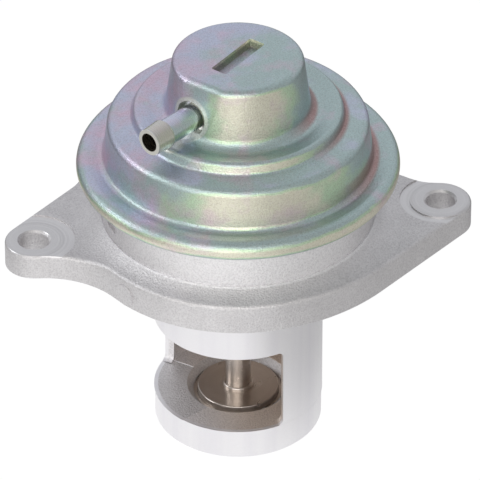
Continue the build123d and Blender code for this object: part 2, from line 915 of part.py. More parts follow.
# What the facet takes off the cup, the pressed-in sheet behind it, and its foot
facet_chip = filled_cup()
with facet_chip:
    split(bisect_by=facet_plane.offset(-sheet), keep=Keep.TOP)
    split(bisect_by=Plane.XY.offset(facet_foot), keep=Keep.TOP)
    add(flat_cup.part, mode=Mode.SUBTRACT)
facet_plate = filled_cup()
with facet_plate:
    split(bisect_by=facet_plane, keep=Keep.BOTTOM)
    split(bisect_by=facet_plane.offset(-sheet), keep=Keep.TOP)
    split(bisect_by=Plane.XY.offset(facet_foot - sheet), keep=Keep.TOP)
facet_ledge = filled_cup()
with facet_ledge:
    split(bisect_by=facet_plane.offset(-sheet), keep=Keep.TOP)
    split(bisect_by=Plane.XY.offset(facet_foot), keep=Keep.BOTTOM)
    split(bisect_by=Plane.XY.offset(facet_foot - sheet), keep=Keep.TOP)

# The dimple's wall and floor behind the facet
with BuildPart() as dimple_wall:
    with BuildSketch(nipple_plane):
        Rectangle(facet_distance + sheet, dimple_radius + sheet, align=(Align.MIN, Align.MIN))
        Rectangle(dimple_floor - sheet, 2 * dimple_radius, align=(Align.MIN, Align.MIN), mode=Mode.SUBTRACT)
    revolve(axis=nipple_axis)
    split(bisect_by=facet_plane, keep=Keep.BOTTOM)
    add(filled_cup().part, mode=Mode.INTERSECT)

with BuildPart() as dimple:
    with BuildSketch(nipple_plane):
        with Locations((dimple_floor, 0)):
            Rectangle(facet_distance, dimple_radius, align=(Align.MIN, Align.MIN))
    revolve(axis=nipple_axis)
    split(bisect_by=facet_plane, keep=Keep.BOTTOM)

# Capsule cap: one pressed sheet, rolled round the diaphragm's bead and the rim
roll_size = (roll_top - roll_bottom) / 2
roll_centre = (roll_radius - roll_size, roll_bottom + roll_size)
gutter_corner = (gutter_radius, gutter_height)
roll_reach = hypot(roll_centre[0] - gutter_radius, roll_centre[1] - gutter_height)
roll_approach = bearing(gutter_corner, roll_centre) + degrees(asin(roll_size / roll_reach))
roll_start = polar(sqrt(roll_reach**2 - roll_size**2), roll_approach, gutter_corner)
with BuildPart() as capsule_cap:
    with BuildSketch(Plane.XZ):
        with BuildLine():
            FilletPolyline(
                (0, cap_top),
                (cup_top_radius, cap_top),
                (cup_foot_radius, cup_foot_height),
                (step_radius, step_height),
                (shelf_radius, shelf_height),
                (shoulder_radius, shoulder_top),
                gutter_corner,
                roll_start,
                radius=[
                    cup_top_round,
                    cup_foot_round,
                    step_round,
                    shelf_foot_round,
                    shoulder_round,
                    gutter_round,
                ],
            )
            CenterArc(roll_centre, roll_size, roll_approach + 90, -180 - roll_approach)
            Line((roll_centre[0], roll_bottom), (roll_lip_radius, roll_bottom))
            offset(amount=sheet, side=Side.RIGHT, kind=Kind.INTERSECTION)
        make_face()
    revolve(axis=Axis.Z)
    add(facet_plate.part)
    add(facet_ledge.part)
    add(dimple_wall.part)
    add(facet_chip.part, mode=Mode.SUBTRACT)

    # Stamped slot, with its floor carried down inside
    slot_plane = Plane(origin=(0, 0, cap_top), x_dir=(*polar(1, slot_angle), 0), z_dir=(0, 0, 1))
    with BuildSketch(slot_plane.offset(-sheet)):
        RectangleRounded(slot_length + 2 * sheet, slot_width + 2 * sheet, sheet)
    extrude(amount=-slot_depth, taper=slot_taper)
    with BuildSketch(slot_plane):
        RectangleRounded(slot_length, slot_width, slot_width / 8)
    extrude(amount=-slot_depth, taper=slot_taper, mode=Mode.SUBTRACT)

    # Dimple and hole for the nipple
    add(dimple.part, mode=Mode.SUBTRACT)
    with BuildSketch(nipple_plane):
        Rectangle(nipple_tip, nipple_radius + press_gap, align=(Align.MIN, Align.MIN))
    revolve(axis=nipple_axis, mode=Mode.SUBTRACT)
capsule_cap.part.label = "capsule_cap"
export_step(capsule_cap.part, "parts/capsule_cap.step")

# Seat that centres the spring under the cap's top, clear of the facet's inner face
facet_at_seat = facet_distance - (cap_top - sheet - facet_height) * tan(radians(facet_lean))
spring_seat_outer = facet_at_seat - sheet / cos(radians(facet_lean)) - spring_seat_margin
with BuildPart() as spring_top_seat:
    with BuildSketch(Plane.XZ):
        with BuildLine():
            Polyline(
                (spring_seat_collar - spring_seat_sheet, cap_top - sheet),
                (spring_seat_outer, cap_top - sheet),
                (spring_seat_outer, spring_top),
                (spring_seat_collar, spring_top),
                (spring_seat_collar, spring_top - spring_seat_drop),
                (spring_seat_collar - spring_seat_sheet, spring_top - spring_seat_drop),
                close=True,
            )
        make_face()
    revolve(axis=Axis.Z)
spring_top_seat.part.label = "spring_top_seat"
export_step(spring_top_seat.part, "parts/spring_top_seat.step")

# Return spring with ground ends
with BuildPart() as return_spring:
    spring_pitch = (spring_top - spring_bottom) / spring_turns
    with BuildLine() as coil:
        Helix(
            spring_pitch,
            spring_top - spring_bottom,
            spring_radius,
            center=(0, 0, spring_bottom),
        )
    with BuildSketch(coil.line ^ 0):
        Circle(spring_wire / 2)
    sweep(is_frenet=True)
    split(bisect_by=Plane.XY.offset(spring_bottom), keep=Keep.TOP)
    split(bisect_by=Plane.XY.offset(spring_top), keep=Keep.BOTTOM)
return_spring.part.label = "return_spring"
export_step(return_spring.part, "parts/return_spring.step")
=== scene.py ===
"""Looks of a vacuum-operated exhaust gas recirculation valve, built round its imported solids."""

import math

import bmesh
import bpy
from bpy.props import FloatProperty, FloatVectorProperty, IntProperty, PointerProperty
from mathutils import Matrix, Vector


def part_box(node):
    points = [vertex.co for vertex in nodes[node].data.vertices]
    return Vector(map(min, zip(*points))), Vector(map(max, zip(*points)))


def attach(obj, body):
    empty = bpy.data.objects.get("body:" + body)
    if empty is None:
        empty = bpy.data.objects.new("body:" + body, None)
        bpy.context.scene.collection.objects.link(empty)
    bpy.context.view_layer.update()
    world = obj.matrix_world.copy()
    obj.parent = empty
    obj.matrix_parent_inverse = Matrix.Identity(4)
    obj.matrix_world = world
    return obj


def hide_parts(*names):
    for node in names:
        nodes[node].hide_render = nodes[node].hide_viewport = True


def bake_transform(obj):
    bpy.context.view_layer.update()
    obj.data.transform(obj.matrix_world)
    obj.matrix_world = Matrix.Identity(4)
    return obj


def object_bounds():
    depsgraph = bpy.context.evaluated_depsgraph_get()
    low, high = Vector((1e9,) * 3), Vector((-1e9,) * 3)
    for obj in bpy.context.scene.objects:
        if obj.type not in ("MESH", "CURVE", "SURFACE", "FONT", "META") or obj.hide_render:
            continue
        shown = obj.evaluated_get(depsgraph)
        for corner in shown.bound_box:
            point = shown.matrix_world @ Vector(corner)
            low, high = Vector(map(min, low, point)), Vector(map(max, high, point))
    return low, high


bl_info = {
    "name": "Exhaust gas valve",
    "version": (1, 0, 0),
    "blender": (4, 5, 0),
    "location": "View3D > Sidebar > Gas Valve",
    "description": "Finishes, soft pieces and studio of a diaphragm-operated exhaust gas valve",
    "category": "Object",
}

MM = 0.001

# Places on the valve that the finishes follow
NIPPLE_TURN = math.radians(-143.0)
NIPPLE_HEIGHT = 41.0 * MM
NIPPLE_TIP = 28.12 * MM
NIPPLE_BORE = 2.2 * MM
BARB = (23.1 * MM, 28.1 * MM)
COLLAR_END = 14.2 * MM
DIMPLE_RADIUS = 4.9 * MM
DIMPLE_START = 8.0 * MM
CUP_RADIUS = 15.0 * MM
SLOT_HEIGHT = (46.0 * MM, 49.3 * MM)
SLOT_REACH = 10.5 * MM
WALL_RADIUS = 30.2 * MM
BARREL_RADIUS = 18.2 * MM
CHAMBER_RADIUS = 18.95 * MM
WINDOW_HEIGHT = (-39.2 * MM, -18.8 * MM)
DRUM_RADIUS = (29.6 * MM, 31.2 * MM)
DRUM_HEIGHT = (8.0 * MM, 24.0 * MM)
EAR_REACH = 46.0 * MM
SPOT_RADIUS = 9.15 * MM
SPOT_HEIGHT = (5.7 * MM, 6.25 * MM)
SCRIBED_RING = (4.05 * MM, 4.35 * MM)
WARM_SIDE = (0.8, -0.6, 0.0)

# Valleys of the capsule, where reddish-brown painted shade goes on their right side: inner and
# outer radius, bottom and top, in millimetres
VALLEYS = ((15.9, 17.6, 35.0, 38.4), (23.3, 24.6, 33.8, 36.2), (29.4, 31.4, 22.8, 27.5))

# Pitch of the grain and of the tool marks, and depth of the marks
ZINC_PITCH = 0.31 * MM
CAST_PITCH = 0.38 * MM
TUBE_PITCH = 0.22 * MM
BARREL_PITCH = 0.26 * MM
FACING_PITCH = 0.42 * MM
STEM_PITCH = 0.30 * MM
TUBE_DEPTH = 0.010 * MM
BARREL_DEPTH = 0.014 * MM
STEM_DEPTH = 0.012 * MM
SHEET_DEPTH = 0.020 * MM

# Tints that the finishes mix in; some are painted shade, painted light, painted glints and painted
# reflections, marked where they are used
ZINC_DULL = (0.30, 0.29, 0.30)
PAINTED_SLOT_SHADE = (0.34, 0.40, 0.36)
PAINTED_DIMPLE_LIGHT = (0.93, 0.95, 0.88)
ZINC_PITS = (0.69, 0.65, 0.63)
ZINC_SPARKLE = (0.96, 0.96, 0.94)
BARB_TINT = (0.64, 0.58, 0.42)
TUBE_GLEAM = (0.95, 0.96, 0.93)
CUT_EDGE = (0.92, 0.91, 0.84)
PAINTED_BORE_SHADE = (0.52, 0.48, 0.40)
CAST_SPARKLE = (0.96, 0.96, 0.97)
CAST_PITS = (0.70, 0.69, 0.70)
CHAMBER_LEFT_TONE = (0.88, 0.86, 0.87)
PAINTED_DRUM_LIGHT = (0.97, 0.96, 0.97)
PAINTED_BARREL_REFLECTION = (0.76, 0.74, 0.80)
FACING_DARK = (0.48, 0.47, 0.48)
FACING_LIGHT = (0.98, 0.97, 0.98)
STEEL_STAIN = (0.40, 0.31, 0.25)

# Middle line of the diaphragm's sheet and outline of its bead: radius and height in millimetres
ROLL_LINE = (
    (3.2, 15.65),
    (12.0, 15.65),
    (19.2, 15.65),
    (20.9, 15.95),
    (21.95, 17.2),
    (22.07, 19.0),
    (22.07, 23.6),
    (22.35, 25.8),
    (23.25, 26.85),
    (24.51, 27.14),
)
EDGE_LINE = (
    (24.51, 27.14),
    (25.8, 26.85),
    (26.65, 25.8),
    (26.95, 23.9),
    (26.95, 22.9),
    (27.4, 22.28),
    (28.6, 22.25),
    (31.6, 22.25),
)
BEAD_LINE = (
    (31.6, 21.82),
    (33.98, 21.82),
    (33.98, 22.88),
    (32.2, 22.88),
    (31.6, 22.68),
    (31.6, 21.82),
)

# Studio walls as the object sees them, from the far side to the camera's side
WALL_TONES = (
    (0.00, (0.90, 0.92, 0.97)),
    (0.14, (0.88, 0.90, 0.94)),
    (0.32, (0.72, 0.73, 0.76)),
    (0.50, (0.56, 0.56, 0.58)),
    (0.66, (0.58, 0.57, 0.55)),
    (0.84, (0.78, 0.77, 0.74)),
    (1.00, (0.98, 0.97, 0.95)),
)
WHITE = (1.0, 1.0, 1.0)
WHITE_WALL_SHARE = 0.12

# Paper floor: half its side, its colour, and how it looks to the camera
FLOOR_REACH = 3.0
PAPER = (0.86, 0.86, 0.86)
PAPER_GLOW = 1.05
PAPER_GLOW_SHARE = 0.93

# Mirrored floor: where its light starts and ends to fall, and what is left of it
FALL_RIGHT = (0.00, 0.055, 0.54)
FALL_LEFT = (0.05, 0.19, 0.40)
FALL_BACK = (-0.02, 0.18, 0.42)

# Softboxes: name, setting with the power, place, side and colour
SOFTBOXES = (
    ("key_softbox", "key_power", (-0.85, -1.95, 0.72), 2.10, (1.0, 0.99, 0.97)),
    ("fill_softbox", "fill_power", (-0.80, 0.10, 0.42), 0.40, (0.96, 0.98, 1.0)),
)
LAMP_AIM = (0.0, 0.0, 10.0 * MM)

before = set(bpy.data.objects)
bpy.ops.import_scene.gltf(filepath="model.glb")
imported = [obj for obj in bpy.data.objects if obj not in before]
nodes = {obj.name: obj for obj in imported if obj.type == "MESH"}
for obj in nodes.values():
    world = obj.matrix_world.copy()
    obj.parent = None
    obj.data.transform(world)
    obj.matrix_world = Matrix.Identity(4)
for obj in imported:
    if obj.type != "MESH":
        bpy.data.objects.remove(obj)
cad_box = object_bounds()


# Node helpers


def add_node(tree, kind, place=(0, 0), **settings):
    """New node at a place in the editor, with its plain settings."""
    node = tree.nodes.new(kind)
    node.location = place
    for name, value in settings.items():
        setattr(node, name, value)
    return node


def wire(tree, source, target):
    """Link a socket, or write a constant, into a socket."""
    if isinstance(source, bpy.types.NodeSocket):
        tree.links.new(source, target)
    else:
        target.default_value = source


def calc(tree, operation, *values, clamp=False):
    """Math node on sockets or numbers."""
    node = add_node(tree, "ShaderNodeMath", operation=operation, use_clamp=clamp)
    for slot, value in enumerate(values):
        wire(tree, value, node.inputs[slot])
    return node.outputs[0]


def fade(tree, value, start, end, first=0.0, last=1.0):
    """Smooth change from the first number to the last, between two values."""
    node = add_node(tree, "ShaderNodeMapRange", interpolation_type="SMOOTHSTEP")
    wire(tree, value, node.inputs["Value"])
    node.inputs["From Min"].default_value = start
    node.inputs["From Max"].default_value = end
    node.inputs["To Min"].default_value = first
    node.inputs["To Max"].default_value = last
    return node.outputs[0]


def band(tree, value, low, high, soft):
    """1 between two limits, with soft edges."""
    rising = fade(tree, value, low - soft, low + soft)
    falling = fade(tree, value, high - soft, high + soft, 1.0, 0.0)
    return calc(tree, "MULTIPLY", rising, falling)


def noise(tree, position, scale, detail=2.0, rough=0.5):
    """Factor of a noise texture in space."""
    node = add_node(tree, "ShaderNodeTexNoise", noise_dimensions="3D")
    wire(tree, position, node.inputs["Vector"])
    wire(tree, scale, node.inputs["Scale"])
    node.inputs["Detail"].default_value = detail
    node.inputs["Roughness"].default_value = rough
    return node.outputs["Fac"]


def mix(tree, factor, first, second, blend="MIX"):
    """Mix of two colours."""
    node = add_node(tree, "ShaderNodeMix", data_type="RGBA", blend_type=blend)
    for slot, value in ((0, factor), (6, first), (7, second)):
        wire(tree, value, node.inputs[slot])
    return node.outputs[2]


def mix_value(tree, factor, first, second):
    """Mix of two numbers."""
    node = add_node(tree, "ShaderNodeMix", data_type="FLOAT")
    for slot, value in ((0, factor), (2, first), (3, second)):
        wire(tree, value, node.inputs[slot])
    return node.outputs[0]


def ramp(tree, value, stops, interpolation="LINEAR"):
    """Colour ramp with (position, colour) stops."""
    node = add_node(tree, "ShaderNodeValToRGB")
    wire(tree, value, node.inputs[0])
    node.color_ramp.interpolation = interpolation
    elements = node.color_ramp.elements
    while len(elements) < len(stops):
        elements.new(1.0)
    for element, (place, colour) in zip(elements, stops):
        element.position = place
        element.color = rgba(colour)
    return node.outputs[0]


def rgba(colour):
    """Colour with full opacity."""
    return (*colour, 1.0)


def split(tree, vector):
    """X, Y and Z sockets of a vector."""
    node = add_node(tree, "ShaderNodeSeparateXYZ")
    wire(tree, vector, node.inputs[0])
    return node.outputs[0], node.outputs[1], node.outputs[2]


def hypotenuse(tree, across, along):
    """Length of two sides at a right angle."""
    squares = [calc(tree, "MULTIPLY", side, side) for side in (across, along)]
    return calc(tree, "SQRT", calc(tree, "ADD", *squares))


def radius_about(tree, position, centre=(0.0, 0.0)):
    """Distance from an upright axis."""
    x, y, _ = split(tree, position)
    across = calc(tree, "SUBTRACT", x, centre[0])
    return hypotenuse(tree, across, calc(tree, "SUBTRACT", y, centre[1]))


def along_way(tree, position, way):
    """Distance along a fixed direction."""
    node = add_node(tree, "ShaderNodeVectorMath", operation="DOT_PRODUCT")
    wire(tree, position, node.inputs[0])
    node.inputs[1].default_value = way
    return node.outputs["Value"]


def nipple_place(tree, position):
    """Reach along the hose nipple, and distance from its axis."""
    out = (math.cos(NIPPLE_TURN), math.sin(NIPPLE_TURN), 0.0)
    reach = along_way(tree, position, out)
    aside = along_way(tree, position, (-out[1], out[0], 0.0))
    rise = calc(tree, "SUBTRACT", split(tree, position)[2], NIPPLE_HEIGHT)
    return reach, hypotenuse(tree, aside, rise)


def slope_of(tree):
    """1 on level faces and 0 on upright ones."""
    normal = add_node(tree, "ShaderNodeTexCoord", (-1400, -300)).outputs["Normal"]
    return calc(tree, "ABSOLUTE", split(tree, normal)[2])


def new_group(name, inputs, outputs):
    """Empty node group with named sockets."""
    group = bpy.data.node_groups.new(name, "ShaderNodeTree")
    for socket, kind, value in inputs:
        made = group.interface.new_socket(socket, in_out="INPUT", socket_type=kind)
        if value is not None:
            made.default_value = value
    for socket, kind in outputs:
        group.interface.new_socket(socket, in_out="OUTPUT", socket_type=kind)
    start = add_node(group, "NodeGroupInput", (-900, 0))
    end = add_node(group, "NodeGroupOutput", (900, 0))
    return group, start, end


def use_group(tree, group, **values):
    """Place a node group with its values."""
    node = add_node(tree, "ShaderNodeGroup", node_tree=group)
    for name, value in values.items():
        wire(tree, value, node.inputs[name.replace("_", " ").capitalize()])
    return node


def blast_grain():
    """Group: the fine pitted grain of a blasted or plated surface, in metres of surface."""
    if "blast_grain" in bpy.data.node_groups:
        return bpy.data.node_groups["blast_grain"]
    group, start, end = new_group(
        "blast_grain",
        [("Position", "NodeSocketVector", None), ("Pitch", "NodeSocketFloat", 0.0004)],
        [
            ("Height", "NodeSocketFloat"),
            ("Sparkle", "NodeSocketFloat"),
            ("Cloud", "NodeSocketFloat"),
        ],
    )
    position = start.outputs["Position"]
    frequency = calc(group, "DIVIDE", 1.0, start.outputs["Pitch"])
    fine = calc(group, "MULTIPLY", noise(group, position, frequency, 3.0, 0.6), 0.7)
    pits = add_node(group, "ShaderNodeTexVoronoi", feature="F1")
    wire(group, position, pits.inputs["Vector"])
    wire(group, calc(group, "MULTIPLY", frequency, 0.8), pits.inputs["Scale"])
    pitted = calc(group, "MULTIPLY", pits.outputs["Distance"], 0.3)
    wire(group, calc(group, "ADD", fine, pitted), end.inputs["Height"])
    spark = noise(group, position, calc(group, "MULTIPLY", frequency, 1.3), 1.0, 0.5)
    sparkle = calc(group, "MULTIPLY", calc(group, "SUBTRACT", spark, 0.55), 5.0, clamp=True)
    wire(group, sparkle, end.inputs["Sparkle"])
    broad = calc(group, "MULTIPLY", frequency, 0.06)
    wire(group, noise(group, position, broad, 3.0, 0.55), end.inputs["Cloud"])
    return group


def turning_marks():
    """Group: tool marks of a lathe or spot facer, as rings at a given distance along a value."""
    if "turning_marks" in bpy.data.node_groups:
        return bpy.data.node_groups["turning_marks"]
    group, start, end = new_group(
        "turning_marks",
        [("Distance", "NodeSocketFloat", 0.0), ("Pitch", "NodeSocketFloat", 0.0003)],
        [("Height", "NodeSocketFloat"), ("Streak", "NodeSocketFloat")],
    )
    turns = calc(group, "DIVIDE", start.outputs["Distance"], start.outputs["Pitch"])
    spaced = add_node(group, "ShaderNodeTexNoise", noise_dimensions="1D")
    wire(group, turns, spaced.inputs["W"])
    spaced.inputs["Scale"].default_value = 1.0
    spaced.inputs["Detail"].default_value = 2.0
    wire(group, spaced.outputs["Fac"], end.inputs["Height"])
    broad = add_node(group, "ShaderNodeTexNoise", noise_dimensions="1D")
    wire(group, calc(group, "MULTIPLY", turns, 0.23), broad.inputs["W"])
    broad.inputs["Scale"].default_value = 1.0
    wire(group, broad.outputs["Fac"], end.inputs["Streak"])
    return group


def material(name):
    """Material with its tree, its shader and a socket with the place on the object."""
    made = bpy.data.materials.new(name)
    made.use_nodes = True
    tree = made.node_tree
    shader = tree.nodes["Principled BSDF"]
    place = add_node(tree, "ShaderNodeTexCoord", (-1400, 0)).outputs["Object"]
    return made, tree, shader, place


def bump(tree, shader, height, distance, under=None):
    """Bump into the shader's normal, on top of another one if given."""
    node = add_node(tree, "ShaderNodeBump")
    node.inputs["Distance"].default_value = distance
    node.inputs["Strength"].default_value = 1.0
    wire(tree, height, node.inputs["Height"])
    if under is not None:
        wire(tree, under, node.inputs["Normal"])
    wire(tree, node.outputs[0], shader.inputs["Normal"])
    return node.outputs[0]


def dress(node_name, made):
    """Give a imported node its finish."""
    slots = nodes[node_name].data.materials
    slots.clear()
    slots.append(made)


def mirrored_rays(tree):
    """Rays straight from the camera, and rays that were mirrored or let through on the way."""
    rays = add_node(tree, "ShaderNodeLightPath").outputs
    mirrored = calc(tree, "MAXIMUM", rays["Is Glossy Ray"], rays["Is Transmission Ray"])
    return rays["Is Camera Ray"], mirrored


def finish_tree(tree, factor, first, second, kind):
    """Mix of two shaders into the tree's output."""
    blend = add_node(tree, "ShaderNodeMixShader")
    for socket, value in zip(blend.inputs, (factor, first.outputs[0], second.outputs[0])):
        wire(tree, value, socket)
    wire(tree, blend.outputs[0], add_node(tree, kind).inputs["Surface"])


def camera_ways(settings):
    """Level directions to the camera's right and towards the camera."""
    right = Vector((math.cos(settings.azimuth), math.sin(settings.azimuth), 0.0))
    back = Vector((math.sin(settings.azimuth), -math.cos(settings.azimuth), 0.0))
    return right, back


# Sizes and colours


class ZincSettings(bpy.types.PropertyGroup):
    """Plated finish of the capsule and its nipple."""

    lavender: FloatVectorProperty(
        name="Lavender",
        description="Tint of the level faces",
        subtype="COLOR",
        default=(0.62, 0.66, 0.82),
    )
    teal: FloatVectorProperty(
        name="Teal",
        description="Tint between level and steep faces",
        subtype="COLOR",
        default=(0.50, 0.63, 0.63),
    )
    green: FloatVectorProperty(
        name="Green",
        description="Tint of sloping faces",
        subtype="COLOR",
        default=(0.60, 0.78, 0.56),
    )
    straw: FloatVectorProperty(
        name="Straw",
        description="Tint of steep faces",
        subtype="COLOR",
        default=(0.85, 0.83, 0.68),
    )
    pink: FloatVectorProperty(
        name="Pink",
        description="Tint of thick spots of the plating",
        subtype="COLOR",
        default=(0.78, 0.58, 0.72),
    )
    # Reddish-brown painted shade for the valleys on the capsule's right side
    valley_shade_colour: FloatVectorProperty(
        name="Valley shade",
        description="Tint of the plating in the valleys",
        subtype="COLOR",
        default=(0.42, 0.22, 0.21),
    )
    roughness: FloatProperty(
        name="Roughness",
        description="Gloss of the plating",
        default=0.385,
        min=0.0,
        max=1.0,
    )
    grain: FloatProperty(
        name="Grain",
        description="Depth of the sheet's grain",
        default=0.00010,
        subtype="DISTANCE",
        unit="LENGTH",
        precision=6,
    )


class CastingSettings(bpy.types.PropertyGroup):
    """Cast and machined aluminium of the body."""

    cast: FloatVectorProperty(
        name="Cast",
        description="Colour of the blasted casting",
        subtype="COLOR",
        default=(0.785, 0.77, 0.78),
    )
    turned: FloatVectorProperty(
        name="Turned",
        description="Colour of machined faces",
        subtype="COLOR",
        default=(0.90, 0.89, 0.91),
    )
    chamber: FloatVectorProperty(
        name="Chamber",
        description="Colour inside the gas chamber",
        subtype="COLOR",
        default=(0.80, 0.72, 0.66),
    )
    grain: FloatProperty(
        name="Grain",
        description="Depth of the casting's grain",
        default=0.00017,
        subtype="DISTANCE",
        unit="LENGTH",
        precision=6,
    )


class SteelSettings(bpy.types.PropertyGroup):
    """Bare steel of the stem, disc and pressed plates."""

    stem: FloatVectorProperty(
        name="Stem",
        description="Colour of the stem and disc",
        subtype="COLOR",
        default=(0.70, 0.64, 0.59),
    )
    pressed: FloatVectorProperty(
        name="Pressed",
        description="Colour of the pressed plates",
        subtype="COLOR",
        default=(0.55, 0.55, 0.56),
    )
    tempered: FloatVectorProperty(
        name="Tempered",
        description="Colour of the disc spring",
        subtype="COLOR",
        default=(0.36, 0.36, 0.39),
    )
    bronze: FloatVectorProperty(
        name="Bronze",
        description="Colour of the guide bush",
        subtype="COLOR",
        default=(0.58, 0.42, 0.24),
    )
    packing: FloatVectorProperty(
        name="Packing",
        description="Colour of the packing ring",
        subtype="COLOR",
        default=(0.05, 0.05, 0.055),
    )


class SpringSettings(bpy.types.PropertyGroup):
    """Return spring in the capsule."""

    radius: FloatProperty(
        name="Radius",
        description="Mean radius of the coil",
        default=10.5 * MM,
        subtype="DISTANCE",
        unit="LENGTH",
    )
    wire: FloatProperty(
        name="Wire",
        description="Thickness of the wire",
        default=2.0 * MM,
        subtype="DISTANCE",
        unit="LENGTH",
    )
    turns: FloatProperty(name="Turns", description="Turns of the coil", default=5.5)
    steps: IntProperty(name="Steps", description="Steps in each turn", default=40, min=12, max=128)
    sides: IntProperty(name="Sides", description="Sides of the wire", default=14, min=6, max=48)
    colour: FloatVectorProperty(
        name="Colour",
        description="Colour of the wire",
        subtype="COLOR",
        default=(0.40, 0.40, 0.43),
    )


class DiaphragmSettings(bpy.types.PropertyGroup):
    """Rubber diaphragm between the body and the capsule."""

    thickness: FloatProperty(
        name="Thickness",
        description="Thickness of the rubber",
        default=0.86 * MM,
        subtype="DISTANCE",
        unit="LENGTH",
    )
    colour: FloatVectorProperty(
        name="Rubber",
        description="Colour of the rubber",
        subtype="COLOR",
        default=(0.030, 0.030, 0.034),
    )
    steps: IntProperty(
        name="Steps",
        description="Steps round the axis",
        default=96,
        min=24,
        max=256,
    )


class StudioSettings(bpy.types.PropertyGroup):
    """Floor, lights and camera."""

    azimuth: FloatProperty(
        name="Azimuth",
        description="Turn of the camera round the object",
        default=-0.1677,
        subtype="ANGLE",
    )
    elevation: FloatProperty(
        name="Elevation",
        description="Height of the camera over the horizon",
        default=0.6182,
        subtype="ANGLE",
    )
    distance: FloatProperty(
        name="Distance",
        description="Camera's distance",
        default=1.5,
        subtype="DISTANCE",
        unit="LENGTH",
    )
    lens: FloatProperty(name="Lens", description="Focal length on a 36 mm sensor", default=502.4)
    aim_side: FloatProperty(
        name="Aim to the side",
        description="Offset of the aim to the camera's right",
        default=0.4222 * MM,
        subtype="DISTANCE",
        unit="LENGTH",
    )
    aim_height: FloatProperty(
        name="Aim height",
        description="Height of the aim",
        default=0.379 * MM,
        subtype="DISTANCE",
        unit="LENGTH",
    )
    key_power: FloatProperty(
        name="Key light",
        description="Power of the wide softbox at the front left",
        default=20.0,
        unit="POWER",
    )
    fill_power: FloatProperty(
        name="Fill light",
        description="Power of the light at the left",
        default=1.4,
        unit="POWER",
    )
    sky: FloatProperty(
        name="Surroundings",
        description="Strength of the studio's walls",
        default=0.69,
    )


# Finishes


def plating_colour(settings):
    """Group: the changing tints of yellow zinc plating, by slope, place and thickness."""
    if "plating_colour" in bpy.data.node_groups:
        return bpy.data.node_groups["plating_colour"]
    group, start, end = new_group(
        "plating_colour",
        [
            ("Position", "NodeSocketVector", None),
            ("Slope", "NodeSocketFloat", 1.0),
            ("Turn", "NodeSocketFloat", 0.0),
            ("Flank", "NodeSocketFloat", 0.0),
        ],
        [("Colour", "NodeSocketColor")],
    )
    position = start.outputs["Position"]
    slope = start.outputs["Slope"]
    turn = start.outputs["Turn"]
    wander = noise(group, position, 85.0, 3.0, 0.55)
    drift = calc(group, "MULTIPLY", calc(group, "SUBTRACT", wander, 0.5), 0.80)
    lean = calc(group, "ADD", calc(group, "MULTIPLY", slope, 0.93), drift)
    steep = calc(group, "SUBTRACT", 1.0, slope)
    beside = calc(group, "MULTIPLY", start.outputs["Flank"], steep)
    lean = calc(group, "ADD", lean, calc(group, "MULTIPLY", beside, 1.05))
    lean = calc(group, "ADD", lean, calc(group, "MULTIPLY", turn, -0.12), clamp=True)
    tints = ramp(
        group,
        lean,
        [
            (0.00, settings.straw),
            (0.15, settings.straw),
            (0.36, settings.green),
            (0.56, settings.teal),
            (0.82, settings.teal),
            (1.00, settings.lavender),
        ],
        "EASE",
    )
    blush = noise(group, position, 120.0, 3.0, 0.6)
    pink = calc(group, "SUBTRACT", calc(group, "MULTIPLY", blush, 4.0), 1.95)
    pink = calc(group, "SUBTRACT", pink, calc(group, "MULTIPLY", turn, 0.35), clamp=True)
    pink = calc(group, "MULTIPLY", pink, 0.80)
    wire(group, mix(group, pink, tints, rgba(settings.pink)), end.inputs["Colour"])
    return group


